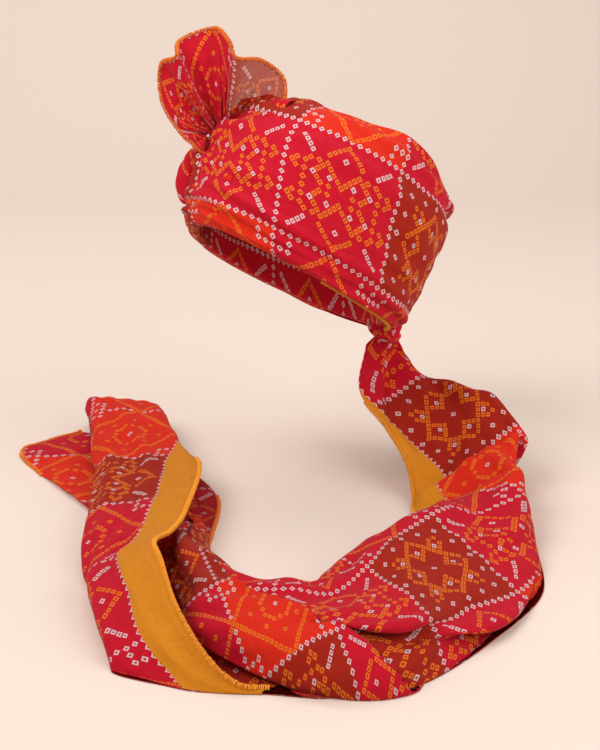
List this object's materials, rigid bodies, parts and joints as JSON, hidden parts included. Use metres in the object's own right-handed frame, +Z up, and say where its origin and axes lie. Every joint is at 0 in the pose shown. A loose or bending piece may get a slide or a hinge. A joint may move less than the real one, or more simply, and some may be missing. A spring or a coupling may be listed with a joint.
{
  "type": "tied turban",
  "caption": "Bandhani pagri turban tied ready to wear, with a pleated fan at the top, a knotted nape and a long bordered free end.",
  "frame": {"origin": "middle of the head opening, in the plane of the brim's front and back edges", "axes": "+Z up when worn, the face towards -Y, the wearer's left towards +X"},
  "size_m": [0.662, 0.5617, 0.4438],
  "materials": {
    "crown_cloth": "thin printed cotton voile, tie-dye dots",
    "outer_cloth": "thin printed cotton voile, tie-dye dots",
    "fan_cloth": "thin printed cotton voile, sheer where single",
    "tail_cloth": "thin printed cotton voile, tie-dye dots"
  },
  "bodies": {
    "root": {"crown_wrap": "crown_cloth", "right_lay": "outer_cloth", "left_lay": "outer_cloth", "fan": "fan_cloth", "fan_puff": "outer_cloth", "nape_knot": "outer_cloth", "tail_run": "tail_cloth", "tail_wrap": "tail_cloth", "tail_corner": "tail_cloth"}
  },
  "joints": []
}
